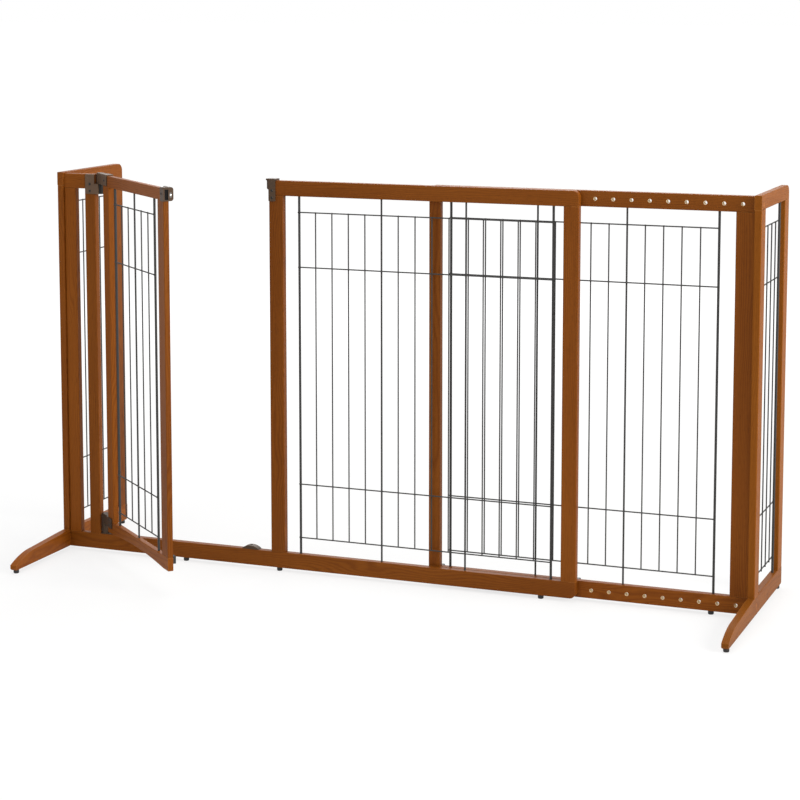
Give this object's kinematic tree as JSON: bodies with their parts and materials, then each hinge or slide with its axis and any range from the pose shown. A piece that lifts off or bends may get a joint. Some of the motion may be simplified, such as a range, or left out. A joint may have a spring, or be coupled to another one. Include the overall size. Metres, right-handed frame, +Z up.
{
  "type": "pet gate",
  "caption": "Free-standing wooden pet gate with a swinging door, a sliding extension frame, side panels with feet, and welded wire mesh.",
  "frame": {"origin": "on the floor, in the middle of the outline at rest, with the door standing open", "axes": "+X along the gate from its left panel to its right panel, +Y to the back, +Z up"},
  "size_m": [1.6986, 0.5892, 0.924],
  "materials": {
    "wood": "warm brown stained hardwood with a satin lacquer",
    "wire": "dark grey powder coat",
    "hardware": "dark bronze-brown lacquer",
    "steel": "zinc-plated steel",
    "screw": "blackened steel",
    "rubber": "soft black rubber",
    "knob": "dark moulded plastic"
  },
  "bodies": {
    "front_frame": {"threshold_rail": "wood", "left_stile": "wood", "short_top_rail": "wood", "hinge_post": "wood", "latch_stile": "wood", "front_top_rail": "wood", "right_stile": "wood", "front_mesh": "wire", "front_pads": "rubber", "left_panel_front_stile": "wood", "left_panel_rear_stile": "wood", "left_panel_top_rail": "wood", "left_foot_rail": "wood", "left_panel_mesh": "wire", "left_panel_pads": "rubber", "left_panel_bolts": "screw", "left_panel_plugs": "wood", "upper_post_bracket": "hardware", "lower_post_bracket": "hardware", "lower_hinge_pin": "steel", "strike": "hardware", "threshold_dome": "hardware", "frame_screws": "screw"},
    "door": {"door_hinge_stile": "wood", "door_latch_stile": "wood", "door_top_rail": "wood", "door_bottom_rail": "wood", "door_mesh": "wire", "door_bumper": "rubber", "door_screws": "screw", "upper_door_bracket": "hardware", "lower_door_bracket": "hardware", "upper_hinge_pin": "steel", "latch_housing": "hardware"},
    "latch_slide": {"latch_slide": "steel"},
    "sliding_frame": {"sliding_inner_stile": "wood", "sliding_outer_stile": "wood", "sliding_top_rail": "wood", "sliding_bottom_rail": "wood", "sliding_mesh": "wire", "sliding_pad": "rubber", "right_panel_front_stile": "wood", "right_panel_rear_stile": "wood", "right_panel_top_rail": "wood", "right_foot_rail": "wood", "right_panel_mesh": "wire", "right_panel_pads": "rubber", "right_panel_bolts": "screw", "right_panel_plugs": "wood"},
    "outer_top_lock": {"outer_top_lock_stud": "steel", "outer_top_lock_knob": "knob"},
    "outer_bottom_lock": {"outer_bottom_lock_stud": "steel", "outer_bottom_lock_knob": "knob"},
    "inner_top_lock": {"inner_top_lock_stud": "steel", "inner_top_lock_knob": "knob"},
    "inner_bottom_lock": {"inner_bottom_lock_stud": "steel", "inner_bottom_lock_knob": "knob"}
  },
  "joints": [
    {"name": "door_swing", "type": "hinge", "parent": "front_frame", "child": "door", "pos_m": [-0.74025, 0.00722, 0.5], "axis": [0, 0, -1], "range_deg": [-41.5, 58.5]},
    {"name": "latch_slide_travel", "type": "slide", "parent": "door", "child": "latch_slide", "axis": [0.749, -0.6626, 0], "range_m": [0, 0.0065]},
    {"name": "frame_extension", "type": "slide", "parent": "front_frame", "child": "sliding_frame", "axis": [1, 0, 0], "range_m": [-0.3663, 0.2442]},
    {"name": "outer_top_lock_travel", "type": "slide", "parent": "sliding_frame", "child": "outer_top_lock", "axis": [0, -1, 0], "range_m": [0, 0.01]},
    {"name": "outer_bottom_lock_travel", "type": "slide", "parent": "sliding_frame", "child": "outer_bottom_lock", "axis": [0, -1, 0], "range_m": [0, 0.01]},
    {"name": "inner_top_lock_travel", "type": "slide", "parent": "sliding_frame", "child": "inner_top_lock", "axis": [0, -1, 0], "range_m": [0, 0.01]},
    {"name": "inner_bottom_lock_travel", "type": "slide", "parent": "sliding_frame", "child": "inner_bottom_lock", "axis": [0, -1, 0], "range_m": [0, 0.01]}
  ]
}
